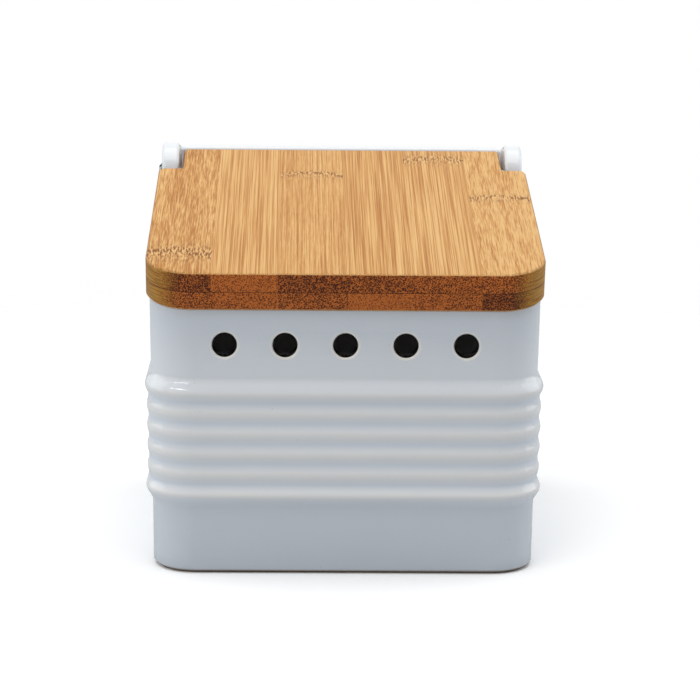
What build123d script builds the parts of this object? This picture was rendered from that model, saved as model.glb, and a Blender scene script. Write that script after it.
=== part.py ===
from build123d import *
import os
from math import cos, radians, sin, sqrt, tan

# A square stoneware garlic keeper with a slanted rim and a hinged bamboo lid.
# The origin is the centre of the foot, on the table. The front faces -Y and +Z is up.
# Sizes are in millimetres and angles in degrees.

# Glazed body
base_width = 116.0
base_depth = 114.0
base_corner_radius = 13.0
wall_draft = 0.6
wall_thickness = 5.6
floor_thickness = 5.5
floor_cove = 4.0
foot_bevel = 1.6
foot_ring_width = 6.0
foot_recess = 1.2
rim_front_height = 81.4
rim_slope = 11.5
rim_round = 1.3

# Ribbed band round the body: a ground with one crest for each rib, the end ribs bolder
rib_count = 6
rib_pitch = 6.28
lowest_rib_height = 24.8
band_ground = 0.9
small_rib_height = 1.5
end_rib_height = 2.2
band_run_out = 4.6
end_crest_round = 2.6

# Air holes through the front wall
vent_count = 5
vent_pitch = 18.0
vent_diameter = 7.2
vents_below_rim = 10.5
vent_bevel = 0.7

# Lid: two plies of bamboo slats glued edge to edge
stave_width = 20.0
stave_count = 6
ply_thickness = 6.0
ply_shift = 0.45
lid_overhang = 1.0
lid_side_overhang = 0.95
lid_corner_radius = 14.0
step_corner_radius = 2.0
tongue_corner_radius = 1.2
lid_top_bevel = 0.7
lid_bottom_bevel = 0.8

# Hinge
pin_diameter = 3.0
pin_setback = 6.0
pin_running_clearance = 0.08
pin_end_stand = 0.5
pin_head_diameter = 6.0
pin_head_height = 1.8
pin_head_bevel = 0.9
slot_width = 0.9
slot_depth = 0.9
seat_diameter = 7.4
seat_depth = 0.5
ear_radius = 9.6
ear_thickness = 5.9
shoulder_clearance = 1.9
back_rim_above_pin = 7.1
pocket_back_wall = 4.66
pocket_side_gap = 1.0
pocket_swing_clearance = 1.4
pocket_relief = 3.4
pocket_corner_radius = 1.5

# Worked out from the sizes above
draft = tan(radians(wall_draft))
slope = radians(rim_slope)
reach = base_width + base_depth
vent_height = rim_front_height - vents_below_rim

lid_thickness = 2 * ply_thickness
lid_width = base_width + 2 * (rim_front_height * draft + lid_side_overhang)
lid_front = -(base_depth / 2 + rim_front_height * draft + lid_overhang)

swing_radius = sqrt(pin_setback ** 2 + ply_thickness ** 2)
pocket_back = base_depth / 2 - pocket_back_wall
pin_y = pocket_back - pocket_swing_clearance - swing_radius
pin_along_lid = (pin_y - lid_front + ply_thickness * sin(slope)) / cos(slope)
pin_z = rim_front_height + pin_along_lid * sin(slope) + ply_thickness * cos(slope)
pin_radius = pin_diameter / 2

ear_top = pin_z + ear_radius
ear_front = pin_y - ear_radius
back_rim_height = pin_z + back_rim_above_pin
side_at_pin = base_width / 2 + pin_z * draft
seat_plane = side_at_pin - seat_depth
pocket_half_width = side_at_pin - ear_thickness

lid_length = pin_along_lid + pin_setback
tongue_width = 2 * (pocket_half_width - pocket_side_gap)
step_position = (ear_front - shoulder_clearance - lid_front) / cos(slope)


def rim_height_at(y):
    """Height of the slanted rim plane at a distance from front to back."""
    return rim_front_height + (y - lid_front) * tan(slope)


def band_corners():
    """Corners of the ribbed band, each with its rounding: the bold end ribs are round, the rest is crisp."""
    last = rib_count - 1
    highest = lowest_rib_height + last * rib_pitch
    corners = [(0.0, lowest_rib_height - band_run_out, 0.0)]
    for k in range(rib_count):
        height = lowest_rib_height + k * rib_pitch
        at_end = k in (0, last)
        corners.append((end_rib_height, height, end_crest_round) if at_end else (small_rib_height, height, 0.0))
        if k < last:
            corners.append((band_ground, height + rib_pitch / 2, 0.0))
    return corners + [(0.0, highest + band_run_out, 0.0)]


def wall_section():
    """Section of the wall: outwards is X, up is Y, and X = 0 is the outline of the base."""
    corners = band_corners()
    band = [(height * draft + stand, height) for stand, height, _ in corners]
    rounds = [rounding for _, _, rounding in corners]
    top = ear_top + rim_round
    outer_top, inner_top = top * draft, top * draft - wall_thickness
    inner_floor = foot_recess + floor_thickness
    inner_at_floor = inner_floor * draft - wall_thickness
    cove_start = inner_at_floor - floor_cove
    ring_inner = -foot_bevel - foot_ring_width
    outline = [
        FilletPolyline((-foot_bevel, 0), (foot_bevel * draft, foot_bevel), *band, (outer_top, top),
                       radius=[0.0, *rounds]),
        Polyline((outer_top, top), (inner_top, top), (inner_at_floor + floor_cove * draft, inner_floor + floor_cove),
                 (cove_start, inner_floor), (cove_start, foot_recess), (ring_inner, foot_recess),
                 (ring_inner, 0), (-foot_bevel, 0)),
    ]
    return make_face(outline)


def wall_ring():
    """The wall swept once round the rounded square of the base."""
    path = RectangleRounded(base_width, base_depth, base_corner_radius).face().outer_wire()
    start, heading = path @ 0, path % 0
    outward = heading.cross(Vector(0, 0, 1))
    if outward.dot(start) < 0:
        outward = -outward
    up_plane = Plane(origin=start, x_dir=outward, z_dir=outward.cross(Vector(0, 0, 1)))
    return sweep(up_plane * wall_section(), path=path)


def side_keep():
    """What the body keeps in side view: up to the slanted rim, the rounded ears and the back rim."""
    front, back = -reach, reach
    arc_end = (pin_y + sqrt(ear_radius ** 2 - back_rim_above_pin ** 2), back_rim_height)
    outline = [
        Line((front, -reach), (front, rim_height_at(front))),
        Line((front, rim_height_at(front)), (ear_front, rim_height_at(ear_front))),
        Line((ear_front, rim_height_at(ear_front)), (ear_front, pin_z)),
        TangentArc((ear_front, pin_z), (pin_y, ear_top), tangent=(0, 1)),
        TangentArc((pin_y, ear_top), arc_end, tangent=(1, 0)),
        Line(arc_end, (back, back_rim_height)),
        Line((back, back_rim_height), (back, -reach)),
        Line((back, -reach), (front, -reach)),
    ]
    return extrude(Plane.YZ * make_face(outline), amount=reach, both=True)


def hinge_pocket():
    """Room for the lid's tongue between the ears, squared into the back corners."""
    depth = pocket_back - ear_front
    plan = Pos(0, pocket_back - depth / 2) * Rectangle(2 * pocket_half_width, depth)
    plan = fillet(plan.vertices().group_by(Axis.Y)[-1], pocket_corner_radius)
    blank = extrude(Pos(0, 0, rim_front_height) * plan, amount=reach)
    below = Pos(0, lid_front, rim_front_height - pocket_relief) * Rot(rim_slope, 0, 0)
    below = below * Box(reach, 2 * reach, 2 * reach, align=(Align.CENTER, Align.CENTER, Align.MAX))
    return blank - below


def ear_bores():
    """Holes for the pin, with a flat sunk seat on each ear's outer face."""
    bore = Cylinder(pin_radius + pin_running_clearance, reach)
    seat = Cylinder(seat_diameter / 2, reach, align=(Align.CENTER, Align.CENTER, Align.MIN))
    across = Pos(0, pin_y, pin_z) * Rot(0, 90, 0)
    seats = [across * Pos(0, 0, side * seat_plane) * Rot(0, 90 - 90 * side, 0) * seat for side in (-1, 1)]
    return [across * bore] + seats


def vent_cutters():
    """Round air holes square to the front wall, in one row across it."""
    cutters = []
    wall_face = -(base_depth / 2 + vent_height * draft)
    for k in range(vent_count):
        x = (k - (vent_count - 1) / 2) * vent_pitch
        hole = Cylinder(vent_diameter / 2, 3 * wall_thickness)
        cutters.append(Pos(x, wall_face, vent_height) * Rot(90 + wall_draft, 0, 0) * hole)
    return cutters


def soften_rim(body):
    """Round the edges of the ears and the back rim, and ease the air holes on the outside."""
    body = fillet([e for e in body.edges() if is_ear_edge(e)], rim_round)
    return chamfer([e for e in body.edges() if is_vent_edge(e)], vent_bevel)


def is_vent_edge(edge):
    """The outer edge of an air hole: a circle on the front wall's outer face."""
    round_one = edge.geom_type == GeomType.CIRCLE and abs(edge.radius - vent_diameter / 2) < 0.001
    return round_one and edge.arc_center.Y < -base_depth / 2


def is_ear_edge(edge):
    """An edge of the cut top behind the seat of the lid: an ear's front or curve, or the back rim."""
    seat = rim_height_at(ear_front)
    for t in (0.1, 0.5, 0.9):
        p = edge @ t
        on_back = abs(p.Z - back_rim_height) < 0.01
        on_curve = abs(sqrt((p.Y - pin_y) ** 2 + (p.Z - pin_z) ** 2) - ear_radius) < 0.01 and p.Z > pin_z
        on_front = abs(p.Y - ear_front) < 0.01 and seat + 0.01 < p.Z < pin_z
        if not (on_back or on_curve or on_front):
            return False
    return True


def ceramic_body():
    """The slip-cast body: ribbed wall, floor, foot, slanted rim, hinge ears and air holes."""
    inner_edge = foot_bevel + foot_ring_width
    floor_plan = RectangleRounded(base_width - 2 * inner_edge, base_depth - 2 * inner_edge,
                                  base_corner_radius - inner_edge)
    floor = extrude(Pos(0, 0, foot_recess) * floor_plan, amount=floor_thickness)
    body = (wall_ring() + floor) & side_keep()
    body = body - hinge_pocket()
    for bore in ear_bores():
        body = body - bore
    for cutter in vent_cutters():
        body = body - cutter
    return soften_rim(body.solids()[0])


def lid_outline():
    """Plan of the lid: rounded front corners, and a narrower tongue that goes between the ears."""
    half, tongue_half = lid_width / 2, tongue_width / 2
    outline = make_face(Polyline(
        (-half, 0), (half, 0), (half, step_position), (tongue_half, step_position), (tongue_half, lid_length),
        (-tongue_half, lid_length), (-tongue_half, step_position), (-half, step_position), close=True))
    rows = outline.vertices().group_by(Axis.Y)
    outline = fillet(rows[0], lid_corner_radius)
    outline = fillet([v for v in outline.vertices() if on_point(v, half, step_position)], step_corner_radius)
    return fillet([v for v in outline.vertices() if on_point(v, tongue_half, lid_length)],
                  tongue_corner_radius)


def on_point(vertex, x, y):
    """True for a vertex at x to either side of the middle and y along the lid."""
    return abs(abs(vertex.X) - x) < 0.01 and abs(vertex.Y - y) < 0.01


def lid_place():
    """From the lid flat on its own plane to its place on the slanted rim."""
    return Pos(0, lid_front, rim_front_height) * Rot(rim_slope, 0, 0)


def lid_ply(bottom, eased_z, bevel):
    """One ply of the lid in one piece: its outer edges eased at one height, and half of the pin's bore."""
    ply = extrude(Pos(0, 0, bottom) * lid_outline(), amount=ply_thickness)
    eased = [e for e in ply.edges() if abs(e.center().Z - eased_z) < 0.01 and e.bounding_box().size.Z < 0.01]
    ply = chamfer(eased, bevel)
    return ply - Pos(0, pin_along_lid, ply_thickness) * Rot(0, 90, 0) * Cylinder(pin_radius, reach)


def lid_staves(name, ply, shift):
    """A ply cut into its slats along the glue lines. The outer slats take what is left of the width."""
    staves = {}
    for k in range(stave_count):
        left = (k - stave_count / 2) * stave_width + shift if k else -reach
        right = (k + 1 - stave_count / 2) * stave_width + shift if k < stave_count - 1 else reach
        slab = Pos((left + right) / 2, 0, 0) * Box(right - left, 4 * reach, 4 * ply_thickness)
        staves[f"{name}_stave_{k + 1}"] = lid_place() * (ply & slab)
    return staves


def hinge_pin():
    """Steel pin through both ears and the tongue, with a slotted round head on the left."""
    shank_start, shank_end = -seat_plane, side_at_pin + pin_end_stand
    shank = Pos(shank_start, 0, 0) * Rot(0, 90, 0) * Cylinder(
        pin_radius, shank_end - shank_start, align=(Align.CENTER, Align.CENTER, Align.MIN))
    shank = chamfer(shank.edges().group_by(Axis.X)[-1], pin_end_stand / 2)
    head = Pos(shank_start, 0, 0) * Rot(0, -90, 0) * Cylinder(
        pin_head_diameter / 2, pin_head_height, align=(Align.CENTER, Align.CENTER, Align.MIN))
    head = chamfer(head.edges().group_by(Axis.X)[0], pin_head_bevel)
    slot = Pos(shank_start - pin_head_height, 0, 0) * Box(2 * slot_depth, slot_width, 2 * pin_head_diameter)
    pin = shank + head - Rot(35, 0, 0) * slot
    return Pos(0, pin_y, pin_z) * pin


def all_nodes():
    """Every separate piece, by name."""
    nodes = {"ceramic_body": ceramic_body(), "hinge_pin": hinge_pin()}
    lower = lid_ply(0, 0, lid_bottom_bevel)
    upper = lid_ply(ply_thickness, lid_thickness, lid_top_bevel)
    nodes.update(lid_staves("lower", lower, ply_shift))
    nodes.update(lid_staves("upper", upper, 0))
    return nodes


os.makedirs("parts", exist_ok=True)
for node, shape in all_nodes().items():
    export_step(shape, f"parts/{node}.step")
print(f"pin axis y {pin_y:.3f} z {pin_z:.3f}, lid front {lid_front:.3f}, ear top {ear_top:.2f}")
print(f"body inside back {pocket_back:.2f}, rim at back {back_rim_height:.2f}")
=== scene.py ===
import math

import bmesh
import bpy
from mathutils import Matrix, Vector


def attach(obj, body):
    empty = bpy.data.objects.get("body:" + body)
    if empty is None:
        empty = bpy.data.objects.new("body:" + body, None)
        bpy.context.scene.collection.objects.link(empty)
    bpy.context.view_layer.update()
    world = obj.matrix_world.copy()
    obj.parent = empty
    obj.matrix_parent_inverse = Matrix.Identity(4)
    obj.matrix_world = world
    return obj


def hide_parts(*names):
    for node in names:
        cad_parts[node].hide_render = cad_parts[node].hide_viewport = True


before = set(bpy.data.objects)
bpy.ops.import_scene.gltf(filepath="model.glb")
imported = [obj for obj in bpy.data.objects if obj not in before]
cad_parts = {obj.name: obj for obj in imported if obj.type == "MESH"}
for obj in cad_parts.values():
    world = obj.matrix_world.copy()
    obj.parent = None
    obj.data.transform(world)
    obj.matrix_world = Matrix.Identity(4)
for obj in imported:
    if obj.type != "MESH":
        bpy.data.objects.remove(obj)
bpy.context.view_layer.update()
print("keeper loaded")

mm = 0.001
mergeReach = 0.004 * mm  # corners closer than this are one

# sizes that the looks follow, in millimetres and degrees, as the keeper is built
keeper = {
    "width": 116.0, "depth": 114.0, "cornerRadius": 13.0, "draftDegrees": 0.6,
    "rimFront": 81.4, "rimSlope": 11.5, "lidFront": -58.852,
    "ventHeight": 70.9, "ventPitch": 18.0, "ventRadius": 3.6, "ventRowHalf": 45.0, "ventBevel": 0.7,
}
draft = math.tan(math.radians(keeper["draftDegrees"]))
slope = math.radians(keeper["rimSlope"])
# the centres of the wall's rounded corners, across and from front to back
coreX = keeper["width"] / 2 - keeper["cornerRadius"]
coreY = keeper["depth"] / 2 - keeper["cornerRadius"]


# A Value is one socket of a material, and sums on it add Math nodes
class Value:
    def __init__(self, recipe, socket):
        self.recipe = recipe
        self.socket = socket

    def math(self, operation, *others):
        return self.recipe.node("ShaderNodeMath", {"operation": operation}, [self, *others])

    def __add__(self, other):
        return self.math("ADD", other)

    def __sub__(self, other):
        return self.math("SUBTRACT", other)

    def __mul__(self, other):
        return self.math("MULTIPLY", other)

    def __truediv__(self, other):
        return self.math("DIVIDE", other)

    def __rsub__(self, other):
        return self.recipe.node("ShaderNodeMath", {"operation": "SUBTRACT"}, [other, self])

    __radd__ = __add__
    __rmul__ = __mul__

    # 0 below the first edge, 1 above the second, soft between them
    def rise(self, low, high):
        return self.recipe.node("ShaderNodeMapRange", {"interpolation_type": "SMOOTHSTEP"},
                                {"Value": self, "From Min": low, "From Max": high})

    # 1 within reach of a place, falling to 0 over the soft margin
    def near(self, place, reach, soft):
        return 1 - (self - place).math("ABSOLUTE").rise(reach, reach + soft)


# A Recipe holds one material, or the world, and makes the nodes in it
class Recipe:
    def __init__(self, holder):
        self.holder = holder
        self.holder.use_nodes = True
        self.tree = self.holder.node_tree
        self.tree.nodes.clear()

    # any node: its type, its settings, and the values or links of its sockets
    def node(self, kind, settings=None, sockets=None, output=0):
        made = self.tree.nodes.new(kind)
        for key, setting in (settings or {}).items():
            if key == "stops":
                self.rampStops(made.color_ramp, setting)
            elif key == "ramp":
                made.color_ramp.interpolation = setting
            else:
                setattr(made, key, setting)
        pairs = sockets.items() if isinstance(sockets, dict) else enumerate(sockets or [])
        for key, given in pairs:
            if isinstance(given, Value):
                self.tree.links.new(given.socket, made.inputs[key])
            else:
                made.inputs[key].default_value = given
        return Value(self, made.outputs[output]) if made.outputs else None

    def rampStops(self, ramp, stops):
        while len(ramp.elements) < len(stops):
            ramp.elements.new(0.5)
        for element, (position, colour) in zip(ramp.elements, stops):
            element.position = position
            element.color = (*colour, 1.0)

    def place(self, output="Object"):
        return self.node("ShaderNodeTexCoord", output=output)

    def placeInMm(self):
        perMetre = (1 / mm, 1 / mm, 1 / mm)
        return self.node("ShaderNodeVectorMath", {"operation": "MULTIPLY"}, [self.place(), perMetre])

    def split(self, vector):
        return [self.node("ShaderNodeSeparateXYZ", None, [vector], k) for k in range(3)]

    def join(self, x, y, z):
        return self.node("ShaderNodeCombineXYZ", None, [x, y, z])

    def noise(self, vector, scale, detail=2.0, roughness=0.5):
        return self.node("ShaderNodeTexNoise", None, {
            "Vector": vector, "Scale": scale, "Detail": detail, "Roughness": roughness})

    def mix(self, factor, first, second):
        first, second = [c if isinstance(c, Value) else (*c, 1.0) for c in (first, second)]
        return self.node("ShaderNodeMix", {"data_type": "RGBA"}, {0: factor, 6: first, 7: second}, 2)

    # one value for each whole number from 0, in even steps
    def pick(self, place, values):
        stops = [(k / len(values), (value, value, value)) for k, value in enumerate(values)]
        middle = (place + 0.5) / len(values)
        return self.node("ShaderNodeValToRGB", {"stops": stops, "ramp": "CONSTANT"}, [middle])

    def bump(self, height, strength, distance):
        return self.node("ShaderNodeBump", None, {
            "Height": height, "Strength": strength, "Distance": distance})

    def finish(self, shader, ending="ShaderNodeOutputMaterial"):
        self.node(ending, None, [shader])
        return self.holder


def srgb(red, green, blue):
    share = [c / 255 for c in (red, green, blue)]
    return tuple(c / 12.92 if c <= 0.04045 else ((c + 0.055) / 1.055) ** 2.4 for c in share)


# ribs, in millimetres, from the lowest crest up
ribs = {
    "count": 6, "pitch": 6.28, "lowest": 24.8, "runOut": 4.6,
    "ground": 0.9, "smallCrest": 1.4, "endCrest": 1.9,  # how far the valleys and the crests stand out
    "course": 0.45, "margin": 0.6,  # height of one cut course, and how far past the band the cuts go
    "skin": 1.0,  # how deep inside its face the outer wall is still shaped
    "slack": 0.01, "snap": 0.0005,  # the play in a height, and in a cut
}
ribs["highest"] = ribs["lowest"] + (ribs["count"] - 1) * ribs["pitch"]


def ribStops():
    stops = [(ribs["lowest"] - ribs["runOut"], 0.0)]
    for k in range(ribs["count"]):
        height = ribs["lowest"] + k * ribs["pitch"]
        atEnd = k in (0, ribs["count"] - 1)
        stops.append((height, ribs["endCrest"] if atEnd else ribs["smallCrest"]))
        if k < ribs["count"] - 1:
            stops.append((height + ribs["pitch"] / 2, ribs["ground"]))
    return stops + [(ribs["highest"] + ribs["runOut"], 0.0)]


# how far the glazed wall stands out at a height: soft waves from stop to stop
def ribStand(height, stops):
    for (low, lowStand), (high, highStand) in zip(stops, stops[1:]):
        if low <= height <= high:
            share = 0.5 - 0.5 * math.cos(math.pi * (height - low) / (high - low))
            return lowStand + (highStand - lowStand) * share
    return 0.0


# the nearest point of the core that the wall goes round, and the way out from it
def outward(point):
    core = Vector((max(-coreX, min(coreX, point.x)), max(-coreY, min(coreY, point.y))))
    return core, Vector((point.x, point.y)) - core


# a copy of a piece with its corners merged, ready to be shaped
def mergedCopy(node, name):
    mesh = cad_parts[node].data.copy()
    mesh.name = name
    mesh.materials.clear()
    piece = bpy.data.objects.new(name, mesh)
    bpy.context.scene.collection.objects.link(piece)
    shape = bmesh.new()
    shape.from_mesh(mesh)
    bmesh.ops.remove_doubles(shape, verts=shape.verts, dist=mergeReach)
    return piece, shape


# the shaped copy takes the node's place: smooth but for its sharp edges, in its own finish
def settle(piece, shape, body, node, material, sharpDegrees):
    mesh = piece.data
    shape.to_mesh(mesh)
    shape.free()
    if mesh.has_custom_normals:
        with bpy.context.temp_override(object=piece, active_object=piece, selected_objects=[piece]):
            bpy.ops.mesh.customdata_custom_splitnormals_clear()
    mesh.shade_smooth()
    mesh.set_sharp_from_angle(angle=math.radians(sharpDegrees))
    mesh.materials.append(material)
    weighted = piece.modifiers.new("even shading", "WEIGHTED_NORMAL")
    weighted.keep_sharp = True
    weighted.weight = 50
    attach(piece, body)
    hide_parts(node)


glaze = {
    "name": "paleGlaze", "roughness": 0.08, "ior": 1.5, "ripple": 0.6, "sharpDegrees": 52,
    # the bluish colour also stands for painted shade in the rib valleys, and the pale warm one for painted
    # light on the crests
    "white": srgb(231, 234, 237), "pooledAndShaded": srgb(223, 229, 237),
    "thinAndLit": srgb(243, 240, 235), "paintedShade": srgb(205, 212, 219), "shadeShare": 0.55,
    "rimStart": (-4, -1), "rimFade": (3, 21), "footFade": 6,  # painted shade: darker below the rim, under the lid's overhang, and on the plain foot below the ribs
    "wallDepth": (4, 2),  # the outer wall's looks fade out this far inside its face
    "bandSoft": 1.5,  # how softly the ribbed band's colours end
    # round the air holes: a warm ring, partly thin glaze and partly a painted highlight, and painted shade
    # in the bores
    "holeRingThinAndLit": srgb(248, 244, 236), "ringShare": 0.8, "ringReach": 0.2, "ringSoft": 0.4,
    "paintedBoreShade": srgb(14, 16, 18), "boreEdge": 0.05, "boreSoft": 0.12,
    "boreBack": -50,  # how far back the painted shade in the bores reaches
    "pinhole": srgb(150, 146, 140), "pinholeShare": 0.35,
    "bareClay": srgb(176, 150, 122), "stainedClay": srgb(128, 100, 74),
    "bareFrom": 0.4, "bareTo": 1.1, "bareDrip": 0.36,  # the glaze ends in an uneven line above the foot
}


def glazeMaterial():
    recipe = Recipe(bpy.data.materials.new(glaze["name"]))
    spot = recipe.placeInMm()
    x, y, z = recipe.split(spot)
    # 1 on the outer wall and 0 on the inside of it
    pastX = (x.math("ABSOLUTE") - coreX).math("MAXIMUM", 0)
    pastY = (y.math("ABSOLUTE") - coreY).math("MAXIMUM", 0)
    deep, shallow = [keeper["cornerRadius"] - depth for depth in glaze["wallDepth"]]
    outside = (pastX * pastX + pastY * pastY).math("SQRT").rise(deep, shallow)

    colour = recipe.mix(recipe.noise(spot, 0.035, 3.0), glaze["white"], glaze["pooledAndShaded"])
    colour = recipe.mix(0.55, colour, glaze["white"])
    # painted shade: darker under the lid's overhang and on the plain foot of the wall below the ribs
    underRim = (y - keeper["lidFront"]) * math.tan(slope) + keeper["rimFront"] - z
    lidShade = (1 - underRim.rise(*glaze["rimFade"])) * underRim.rise(*glaze["rimStart"])
    footShade = 1 - z.rise(ribs["lowest"] - glaze["footFade"], ribs["lowest"])
    colour = recipe.mix((lidShade + footShade) * outside * glaze["shadeShare"], colour, glaze["paintedShade"])
    # the glaze runs thin over the crests and pools bluish in the valleys, and painted light lies on the
    # crests and painted shade in the valleys
    crest = ((z - ribs["lowest"]) * (2 * math.pi / ribs["pitch"])).math("COSINE") * 0.5 + 0.5
    middle, half = (ribs["highest"] + ribs["lowest"]) / 2, (ribs["highest"] - ribs["lowest"]) / 2
    inBand = z.near(middle, half, glaze["bandSoft"]) * outside
    wobble = recipe.noise(spot, 0.09, 2.0)
    colour = recipe.mix(inBand * (1 - crest) * (wobble * 0.5 + 0.40), colour, glaze["pooledAndShaded"])
    colour = recipe.mix(inBand * crest * (wobble * 0.4 + 0.45), colour, glaze["thinAndLit"])

    # a warm ring round each air hole, partly thin glaze and partly a painted highlight on its rounded
    # edge, and painted shade darkening its bore
    pitch, rowEnd = keeper["ventPitch"], keeper["ventRowHalf"]
    besideHole = (x / pitch + 0.5).math("FRACT") * pitch - pitch / 2
    overHole = z - keeper["ventHeight"]
    fromHole = (besideHole * besideHole + overHole * overHole).math("SQRT")
    inFront = 1 - y.rise(glaze["boreBack"], glaze["boreBack"] + 1)
    inRow = (1 - x.math("ABSOLUTE").rise(rowEnd, rowEnd + 0.5)) * inFront
    bevelMiddle = keeper["ventRadius"] + keeper["ventBevel"] * 0.6
    ring = fromHole.near(bevelMiddle, glaze["ringReach"], glaze["ringSoft"])
    colour = recipe.mix(inRow * ring * glaze["ringShare"], colour, glaze["holeRingThinAndLit"])
    # painted shade: the bore of each air hole is near-black
    boreEdge = keeper["ventRadius"] + glaze["boreEdge"]
    bore = 1 - fromHole.rise(boreEdge, boreEdge + glaze["boreSoft"])
    colour = recipe.mix(inRow * bore, colour, glaze["paintedBoreShade"])

    # tiny pinholes and a dry clay foot
    cells = recipe.node("ShaderNodeTexVoronoi", None, {"Vector": spot, "Scale": 0.16})
    pinhole = 1 - cells.rise(0.02, 0.035)
    colour = recipe.mix(pinhole * glaze["pinholeShare"], colour, glaze["pinhole"])
    drip = recipe.noise(spot, 0.3, 3.0) * glaze["bareDrip"]
    bare = 1 - z.rise(glaze["bareFrom"], glaze["bareTo"] + drip)
    clay = recipe.mix(recipe.noise(spot, 2.2, 4.0), glaze["bareClay"], glaze["stainedClay"])
    colour = recipe.mix(bare, colour, clay)

    rough = bare * 0.6 + (recipe.noise(spot, 0.12, 2.0) * 0.05 + glaze["roughness"])
    ripple = recipe.noise(spot, 0.05, 1.0) + recipe.noise(spot, 0.5, 2.0) * 0.02
    shader = recipe.node("ShaderNodeBsdfPrincipled", None, {
        "Base Color": colour, "Roughness": rough, "IOR": glaze["ior"],
        "Normal": recipe.bump(ripple, 0.35, glaze["ripple"] * mm)})
    return recipe.finish(shader)


bamboo = {
    "name": "oiledBamboo", "roughness": 0.5, "ior": 1.45, "gloss": 0.2, "relief": 0.12, "sharpDegrees": 50,
    "slat": 20.0, "slats": 6, "ply": 6.0,
    "shift": 0.45,  # how far to the right the lower ply's joints stand
    "seam": (0.04, 0.16), "plyLine": (0.05, 0.12),  # glue between the slats, and between the plies
    # where the edge's looks start above the underside, end below the top, and its pale line ends
    "edgeFrom": (0.15, 0.5), "edgeTo": (0.6, 0.3), "bottomFade": (0.45, 0.85),
    "light": srgb(221, 179, 119), "middle": srgb(201, 149, 88), "dark": srgb(171, 113, 54),
    "nodeMark": srgb(112, 66, 26), "endLight": srgb(204, 112, 48), "endDark": srgb(92, 40, 14),
    "side": srgb(192, 144, 58), "sideDark": srgb(146, 92, 34),
    "glueLine": srgb(52, 24, 14), "bottomLine": srgb(206, 158, 104),
    # how light each slat is from left to right: the lid's top and underside, and the ends of both plies
    "topTints": [0.28, 0.62, 0.52, 0.45, 0.5, 0.9], "underTints": [0.6, 0.4, 0.5, 0.7, 0.45, 0.35],
    "upperEndTints": [0.18, 0.78, 0.22, 0.32, 0.48, 0.5],
    "lowerEndTints": [0.5, 0.72, 0.42, 0.86, 0.62, 0.1],
    # the slats with short flecks among the long fibres, from 0 at the left, and how strong they are
    "flecked": {0: 1.0, 5: 1.0, 2: 0.35}, "fleckShare": 0.75,
    # the bow of a bamboo node across a slat, and its strongest mark
    "nodeArch": 0.035, "nodeRise": 2.0, "nodeShare": 0.9,
}

# noise stretched along a slat: how fast it changes per millimetre across, along and through it
bambooFibres = {
    "fine": {"across": 2.9, "along": 0.016, "through": 1.2, "detail": 3.0, "roughness": 0.7},
    "broad": {"across": 0.35, "along": 0.008, "through": 0.4, "detail": 2.0, "roughness": 0.5},
    "fleck": {"across": 3.1, "along": 0.13, "through": 1.2, "detail": 2.0, "roughness": 0.6},
    "pit": {"across": 1.8, "along": 0.36, "through": 0.0, "detail": 2.0, "roughness": 0.6},
    "side": {"across": 0.2, "along": 0.035, "through": 2.8, "detail": 3.0, "roughness": 0.65},
}

# bamboo nodes that cross a slat of the upper ply, in millimetres from the lid's front
bambooNodes = [
    {"slat": 0, "middle": 16.0, "reach": 8.0, "strength": 1.0},
    {"slat": 2, "middle": 86.0, "reach": 4.5, "strength": 0.7},
    {"slat": 4, "middle": 101.0, "reach": 6.0, "strength": 0.8},
    {"slat": 5, "middle": 65.0, "reach": 4.0, "strength": 0.9},
]


# how strongly a bamboo node marks each place: an arched row in a fainter cloud
def nodeMarks(s, across, slatNumber, upper):
    fromMiddle = across - bamboo["slat"] / 2
    marks = []
    for cane in bambooNodes:
        arch = fromMiddle * fromMiddle * -bamboo["nodeArch"] + cane["middle"] + bamboo["nodeRise"]
        row = 1 - (s - arch).math("ABSOLUTE").rise(0.6, cane["reach"] * 0.6)
        cloud = s.near(cane["middle"], cane["reach"] * 0.4, cane["reach"])
        thisSlat = slatNumber.near(cane["slat"], 0.1, 0.1) * upper
        marks.append(thisSlat * (row * 0.7 + cloud * 0.45) * cane["strength"])
    return sum(marks)


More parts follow.
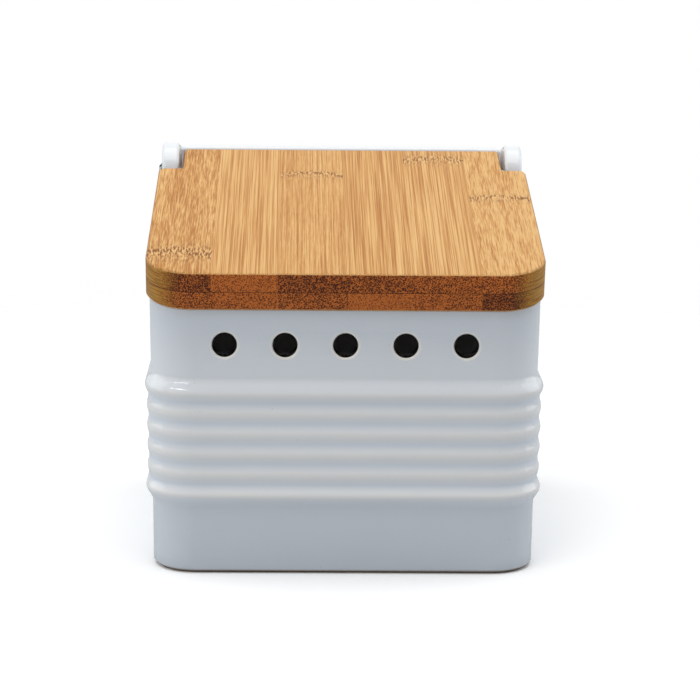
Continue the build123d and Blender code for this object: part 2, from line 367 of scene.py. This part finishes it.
def bambooMaterial():
    recipe = Recipe(bpy.data.materials.new(bamboo["name"]))
    # x across the lid, s from front to back along it, n up from its underside, in millimetres
    lidPlace = recipe.node("ShaderNodeMapping", {"vector_type": "TEXTURE"}, {
        "Vector": recipe.place(), "Location": (0, keeper["lidFront"] * mm, keeper["rimFront"] * mm),
        "Rotation": (slope, 0, 0), "Scale": (mm, mm, mm)})
    x, s, n = recipe.split(lidPlace)
    slat, ply = bamboo["slat"], bamboo["ply"]
    upper = n.math("GREATER_THAN", ply)
    slatPlace = (x - (1 - upper) * bamboo["shift"]) / slat + bamboo["slats"] / 2
    slatNumber = slatPlace.math("FLOOR")
    across = slatPlace.math("FRACT") * slat

    def tint(above, below):
        upperTint, lowerTint = [recipe.pick(slatNumber, bamboo[tints]) for tints in (above, below)]
        return upperTint * upper + lowerTint * (1 - upper)

    def fibres(name, seed=0.0):
        look = bambooFibres[name]
        stretched = recipe.join(x * look["across"] + seed, s * look["along"], n * look["through"])
        return recipe.noise(stretched, 1.0, look["detail"], look["roughness"])

    # long fibres, and short flecks on the slats cut through the outside of the cane
    seed = slatNumber * 61.0 + upper * 17.0
    flecked = sum(slatNumber.near(k, 0.1, 0.1) * share for k, share in bamboo["flecked"].items())
    flecked = flecked * bamboo["fleckShare"]
    fibre = fibres("fine", seed) * (1 - flecked) + fibres("fleck", seed) * flecked
    faceTint = tint("topTints", "underTints") - 0.5
    tone = fibre * 1.3 + fibres("broad", seed) * 0.26 + faceTint * 0.12 - 0.285
    colour = recipe.node("ShaderNodeValToRGB", {"stops": [
        (0.34, bamboo["dark"]), (0.49, bamboo["middle"]), (0.64, bamboo["light"])]}, [tone])

    # dark pits and pale dashes where a bamboo node crosses a slat
    mark = nodeMarks(s, across, slatNumber, upper)
    pit = fibres("pit", seed)
    darkPits = (mark * pit.rise(0.47, 0.60)).math("MINIMUM", bamboo["nodeShare"])
    paleDashes = (mark * (1 - pit.rise(0.40, 0.50))).math("MINIMUM", bamboo["nodeShare"])
    colour = recipe.mix(darkPits, colour, bamboo["nodeMark"])
    colour = recipe.mix(paleDashes, colour, bamboo["light"])

    # glue lines between slats, thin and faint on top
    glued, clean = bamboo["seam"]
    seam = 1 - across.rise(glued, clean) * (1 - across.rise(slat - clean, slat - glued))
    colour = recipe.mix(seam * 0.35, colour, bamboo["dark"])

    # end grain: dark vessel dots, a tint of its own for each slat
    dots = recipe.node("ShaderNodeTexVoronoi", None, {
        "Vector": recipe.join(x, s * 0.15, n), "Scale": 2.5, "Randomness": 0.85})
    grain = recipe.noise(lidPlace, 1.6, 3.0, 0.6)
    endTint = tint("upperEndTints", "lowerEndTints") - 0.5
    endTone = dots.rise(0.12, 0.74) * 0.95 + grain * 0.22 + endTint * 0.6 - 0.13
    end = recipe.node("ShaderNodeValToRGB", {"stops": [
        (0.12, bamboo["glueLine"]), (0.38, bamboo["endDark"]), (0.85, bamboo["endLight"])]}, [endTone])
    side = recipe.mix(fibres("side").rise(0.36, 0.66), bamboo["side"], bamboo["sideDark"])

    # the edge shows end grain where it faces front or back, long fibres where it faces sideways
    facing = recipe.node("ShaderNodeMapping", {"vector_type": "TEXTURE"}, {
        "Vector": recipe.place("Normal"), "Rotation": (slope, 0, 0)})
    facingX, facingS = [part.math("ABSOLUTE") for part in recipe.split(facing)[:2]]
    frontShare = facingS / (facingS + facingX + 0.001)
    speckle = (recipe.noise(lidPlace, 2.4, 2.0, 0.6) - 0.5) * 0.5
    endGrain = (frontShare + speckle).rise(0.42, 0.82)
    edge = recipe.mix(endGrain, side, end)
    line = n.near(ply, *bamboo["plyLine"])
    edge = recipe.mix(line * 0.75, edge, bamboo["glueLine"])
    edge = recipe.mix(seam * 0.4, edge, bamboo["glueLine"])
    edge = recipe.mix((1 - n.rise(*bamboo["bottomFade"])) * 0.7, edge, bamboo["bottomLine"])
    belowTop = [2 * ply - depth for depth in bamboo["edgeTo"]]
    onEdge = n.rise(*bamboo["edgeFrom"]) * (1 - n.rise(*belowTop))
    colour = recipe.mix(onEdge, colour, edge)

    rough = (fibre - 0.5) * 0.12 + bamboo["roughness"]
    height = fibre * (1 - onEdge) + endTone * onEdge * 0.7 - line * onEdge - mark * pit * 0.4
    shader = recipe.node("ShaderNodeBsdfPrincipled", None, {
        "Base Color": colour, "Roughness": rough, "IOR": bamboo["ior"],
        "Specular IOR Level": bamboo["gloss"],
        "Normal": recipe.bump(height, 0.35, bamboo["relief"] * mm)})
    return recipe.finish(shader)


steel = {
    "name": "darkSteel", "colour": srgb(150, 156, 156), "tarnish": srgb(92, 98, 96),
    "roughness": 0.24, "relief": 0.05, "sharpDegrees": 50,
}


def steelMaterial():
    recipe = Recipe(bpy.data.materials.new(steel["name"]))
    spot = recipe.placeInMm()
    x, y, z = recipe.split(spot)
    cloud = recipe.noise(spot, 0.9, 3.0)
    drawn = recipe.noise(recipe.join(x * 6.0, y * 0.8, z * 0.8), 1.0, 2.0)
    colour = recipe.mix(cloud.rise(0.4, 0.65), steel["colour"], steel["tarnish"])
    shader = recipe.node("ShaderNodeBsdfPrincipled", None, {
        "Base Color": colour, "Metallic": 1.0, "Roughness": cloud * 0.15 + steel["roughness"],
        "Normal": recipe.bump(drawn, 0.15, steel["relief"] * mm)})
    return recipe.finish(shader)


# the camera's place in metres, its turns in degrees, its lens and sensor in millimetres
cameraStand = {
    "place": (-0.014157, -0.795033, 0.229691), "pitch": 12.2443, "yaw": 1.2014, "roll": 0.5992,
    "lens": 130.65, "sensor": 36.0,
}


def makeCamera():
    pitch, yaw, roll = [math.radians(cameraStand[k]) for k in ("pitch", "yaw", "roll")]
    ahead = Vector((math.sin(yaw) * math.cos(pitch), math.cos(yaw) * math.cos(pitch), -math.sin(pitch)))
    level = Vector((math.cos(yaw), -math.sin(yaw), 0))
    above = level.cross(ahead)
    right = level * math.cos(roll) + above * math.sin(roll)
    up = above * math.cos(roll) - level * math.sin(roll)
    data = bpy.data.cameras.new("view")
    data.lens = cameraStand["lens"]
    data.sensor_width = cameraStand["sensor"]
    data.clip_start, data.clip_end = 0.05, 20
    camera = bpy.data.objects.new("view", data)
    turn = Matrix((right, up, -ahead)).transposed().to_4x4()
    camera.matrix_world = Matrix.Translation(cameraStand["place"]) @ turn
    bpy.context.scene.collection.objects.link(camera)
    bpy.context.scene.camera = camera


# soft lights: place, what they face, size across and up, in metres, watts, colour
lights = {
    "overhead": {"place": (0.0, -0.06, 0.95), "aim": (0, -0.02, 0.08), "size": (1.1, 1.0), "watts": 7.8,
                 "colour": (1.0, 0.985, 0.96)},
    "left": {"place": (-0.62, 0.12, 0.30), "aim": (0, 0, 0.06), "size": (0.5, 0.6), "watts": 1.1,
             "colour": (0.96, 0.98, 1.0)},
    "right": {"place": (0.62, 0.12, 0.30), "aim": (0, 0, 0.06), "size": (0.5, 0.6), "watts": 1.3,
              "colour": (0.96, 0.98, 1.0)},
    "strip": {"place": (-0.49, -0.62, 0.60), "aim": (0, 0, 0.05), "size": (0.8, 0.05), "watts": 1.5,
              "colour": (1, 1, 1)},
}
surroundings = {
    "colour": (0.90, 0.95, 1.0), "level": 0.24, "floorShown": (1.1, 1.1, 1.1),
    "floorGiven": (0.60, 0.62, 0.645), "floorSize": 3.0, "fadeFrom": 0.22, "fadeTo": 0.45,
}


def makeLights():
    for name, lamp in lights.items():
        data = bpy.data.lights.new(name, "AREA")
        data.shape = "RECTANGLE"
        data.size, data.size_y = lamp["size"]
        data.energy = lamp["watts"]
        data.color = lamp["colour"]
        made = bpy.data.objects.new(name, data)
        made.location = lamp["place"]
        made.rotation_euler = (Vector(lamp["aim"]) - made.location).to_track_quat("-Z", "Y").to_euler()
        bpy.context.scene.collection.objects.link(made)


# soft bluish light on the keeper, and plain white where the world is seen or mirrored
def makeWorld():
    recipe = Recipe(bpy.data.worlds.new("studio"))
    seen, glossy, through = [recipe.node("ShaderNodeLightPath", output=f"Is {ray} Ray")
                             for ray in ("Camera", "Glossy", "Transmission")]
    shown = seen.math("MAXIMUM", glossy).math("MAXIMUM", through)
    soft = recipe.node("ShaderNodeBackground", None, {
        "Color": (*surroundings["colour"], 1.0), "Strength": surroundings["level"]})
    white = recipe.node("ShaderNodeBackground", None, {"Color": (1, 1, 1, 1)})
    both = recipe.node("ShaderNodeMixShader", None, [shown, soft, white])
    bpy.context.scene.world = recipe.finish(both, "ShaderNodeOutputWorld")


# the floor keeps the shadow near the keeper and fades into the white further out
def makeFloor():
    recipe = Recipe(bpy.data.materials.new("paleFloor"))
    seen = recipe.node("ShaderNodeLightPath", output="Is Camera Ray")
    colour = recipe.mix(seen, surroundings["floorGiven"], surroundings["floorShown"])
    matt = recipe.node("ShaderNodeBsdfDiffuse", None, {"Color": colour})
    clear = recipe.node("ShaderNodeBsdfTransparent")
    away = recipe.node("ShaderNodeVectorMath", {"operation": "LENGTH"}, [recipe.place()], "Value")
    fade = away.rise(surroundings["fadeFrom"], surroundings["fadeTo"]) * seen
    shader = recipe.node("ShaderNodeMixShader", None, [fade, matt, clear])
    shape = bmesh.new()
    bmesh.ops.create_grid(shape, x_segments=1, y_segments=1, size=surroundings["floorSize"])
    mesh = bpy.data.meshes.new("floor")
    shape.to_mesh(mesh)
    shape.free()
    mesh.materials.append(recipe.finish(shader))
    floor = bpy.data.objects.new("floor", mesh)
    bpy.context.scene.collection.objects.link(floor)


makeCamera()
makeWorld()
makeLights()
makeFloor()
bpy.context.scene.view_settings.view_transform = "Standard"
print("camera, lights and floor")


# the ribbed band is cut into thin courses, and its outer wall follows the soft waves
def makeBody():
    piece, shape = mergedCopy("ceramic_body", "glazedBody")
    stops = ribStops()
    low, high = stops[0][0] - ribs["margin"], stops[-1][0] + ribs["margin"]
    radius = keeper["cornerRadius"]

    def outer(point):
        return outward(point / mm)[1].length > radius - ribs["skin"]

    courses = round((high - low) / ribs["course"])
    for k in range(courses + 1):
        height = (low + (high - low) * k / courses) * mm
        walls = [f for f in shape.faces if outer(f.calc_center_median())]
        edges = list({e for f in walls for e in f.edges})
        corners = list({v for f in walls for v in f.verts})
        bmesh.ops.bisect_plane(shape, geom=edges + corners + walls, plane_co=(0, 0, height),
                               plane_no=(0, 0, 1), dist=ribs["snap"] * mm)
    for v in shape.verts:
        height = v.co.z / mm
        if low - ribs["slack"] < height < high + ribs["slack"] and outer(v.co):
            core, way = outward(v.co / mm)
            edge = core + way.normalized() * (radius + height * draft + ribStand(height, stops))
            v.co.x, v.co.y = edge.x * mm, edge.y * mm
    settle(piece, shape, "body", "ceramic_body", glazeMaterial(), glaze["sharpDegrees"])


makeBody()
print("glazed body")

bambooFinish = bambooMaterial()
for ply in ("upper", "lower"):
    for k in range(1, bamboo["slats"] + 1):
        node = f"{ply}_stave_{k}"
        piece, shape = mergedCopy(node, f"{ply}Slat{k}")
        settle(piece, shape, "lid", node, bambooFinish, bamboo["sharpDegrees"])
print("bamboo lid")

piece, shape = mergedCopy("hinge_pin", "slottedPin")
settle(piece, shape, "lid", "hinge_pin", steelMaterial(), steel["sharpDegrees"])
print("hinge pin")
